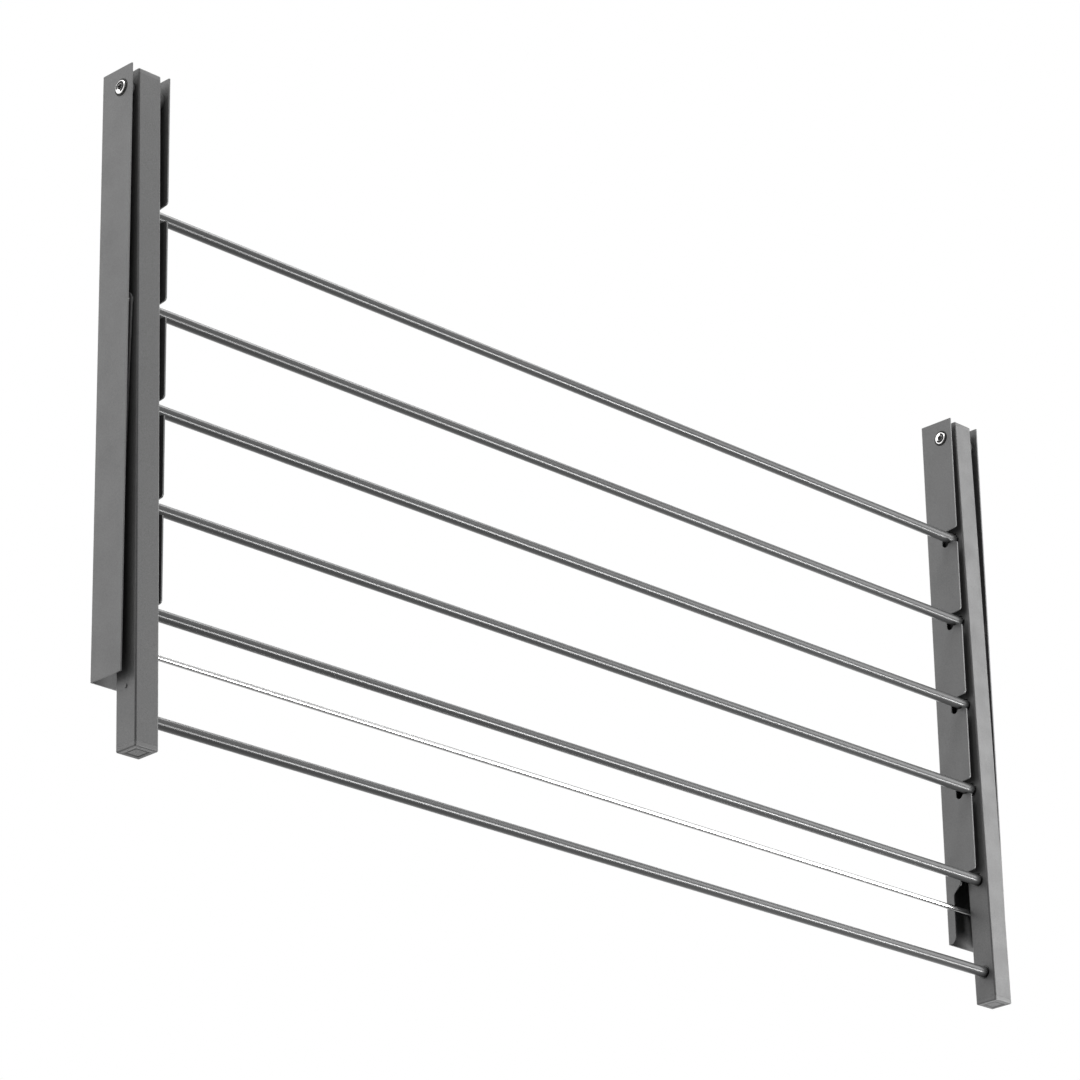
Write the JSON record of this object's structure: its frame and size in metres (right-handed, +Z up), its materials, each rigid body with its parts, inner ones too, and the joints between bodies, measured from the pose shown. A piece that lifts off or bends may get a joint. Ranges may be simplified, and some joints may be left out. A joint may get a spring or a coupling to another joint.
{
  "type": "fold down drying rack",
  "caption": "Wall mounted drying rack: a frame of square arms and round bars that folds down from channel rails and is propped by stays.",
  "frame": {"origin": "centre of the four wall screw holes, on the wall plane", "axes": "+X along the bars to the right as seen from the front, +Y into the wall, +Z up"},
  "size_m": [1.147, 0.0485, 0.6231],
  "materials": {
    "rail_paint": "satin powder coat",
    "arm_paint": "satin powder coat",
    "bar_paint": "smooth satin coat",
    "stay_paint": "satin powder coat",
    "cap_plastic": "fine moulded texture",
    "bush_plastic": "moulded",
    "nylon": "moulded",
    "dark_washer": "black oxide",
    "pivot_steel": "bright zinc",
    "rod_steel": "polished"
  },
  "bodies": {
    "wall_rails": {"left_wall_channel": "rail_paint", "right_wall_channel": "rail_paint", "left_pivot_screw": "pivot_steel", "right_pivot_screw": "pivot_steel", "left_pivot_sleeve": "pivot_steel", "right_pivot_sleeve": "pivot_steel", "left_pivot_head_washers": "dark_washer", "right_pivot_head_washers": "dark_washer", "left_pivot_spacers": "nylon", "right_pivot_spacers": "nylon"},
    "rack_frame": {"left_arm_tube": "arm_paint", "right_arm_tube": "arm_paint", "left_arm_top_cap": "cap_plastic", "right_arm_top_cap": "cap_plastic", "left_arm_bottom_cap": "cap_plastic", "right_arm_bottom_cap": "cap_plastic", "left_pivot_bushes": "nylon", "right_pivot_bushes": "nylon", "left_bar_bushes": "bush_plastic", "right_bar_bushes": "bush_plastic", "left_stay_thread_insert": "pivot_steel", "right_stay_thread_insert": "pivot_steel", "left_stay_washer": "nylon", "right_stay_washer": "nylon", "left_stay_pivot_screw": "pivot_steel", "right_stay_pivot_screw": "pivot_steel", "left_guide_rivet": "arm_paint", "right_guide_rivet": "arm_paint", "bar_1": "bar_paint", "bar_2": "bar_paint", "bar_3": "bar_paint", "bar_4": "bar_paint", "bar_5": "bar_paint", "bar_6": "bar_paint"},
    "support_stays": {"left_stay": "stay_paint", "right_stay": "stay_paint", "left_rod_end_cap": "rod_steel", "right_rod_end_cap": "rod_steel", "stay_cross_rod": "rod_steel"}
  },
  "joints": [
    {"name": "rack_fold", "type": "hinge", "parent": "wall_rails", "child": "rack_frame", "pos_m": [0, -0.0255, 0.26], "axis": [-1, 0, 0], "range_deg": [0, 101.3]},
    {"name": "stay_swing", "type": "hinge", "parent": "rack_frame", "child": "support_stays", "pos_m": [0, -0.02902, 0.05803], "axis": [1, 0, 0], "range_deg": [0, 136.4]}
  ],
  "couplings": [
    {"joint": "stay_swing", "follows": "rack_fold", "ratio": 1.3464}
  ]
}
